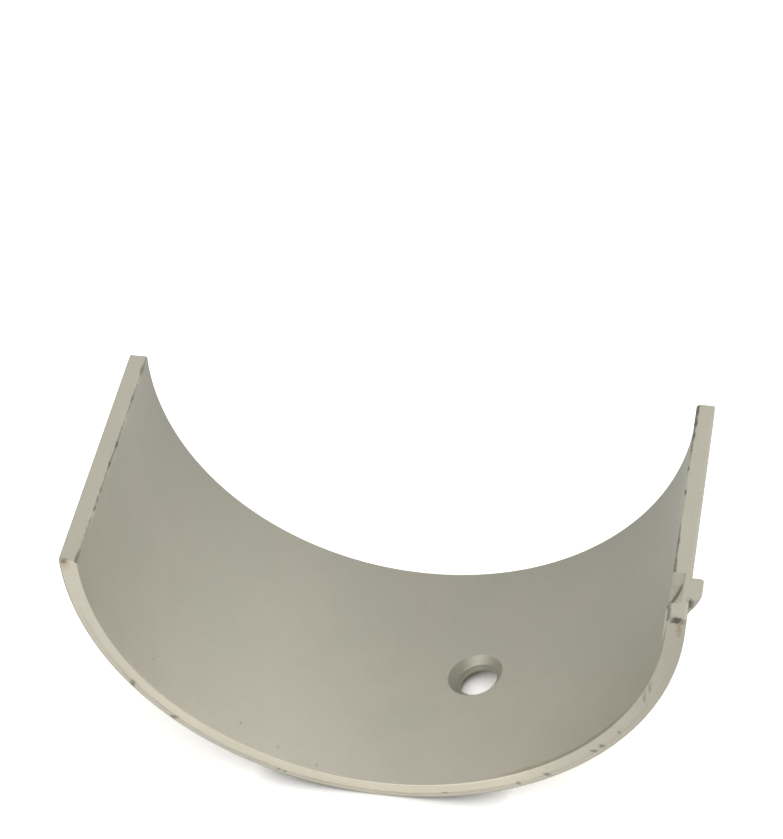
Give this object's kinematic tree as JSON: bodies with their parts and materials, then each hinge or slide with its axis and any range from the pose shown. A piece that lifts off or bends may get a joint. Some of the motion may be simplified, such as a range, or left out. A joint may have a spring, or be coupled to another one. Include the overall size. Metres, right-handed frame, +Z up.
{
  "type": "engine bearing shell",
  "caption": "Half of a split plain bearing: a thin steel half ring with a countersunk oil hole and a pressed locating tang at one joint face.",
  "frame": {"origin": "on the journal's axis, half way along the shell, in the plane of the two joint faces", "axes": "+X across the joint faces towards the one with the locating tang, +Y along the journal away from the tang's end, +Z up, out of the open side of the half ring"},
  "size_m": [0.0663, 0.032, 0.0325],
  "materials": {
    "bearing_metal": "satin grey bearing metal, finely bored inside, with ground joint faces"
  },
  "bodies": {
    "root": {"bearing_shell": "bearing_metal"}
  },
  "joints": []
}
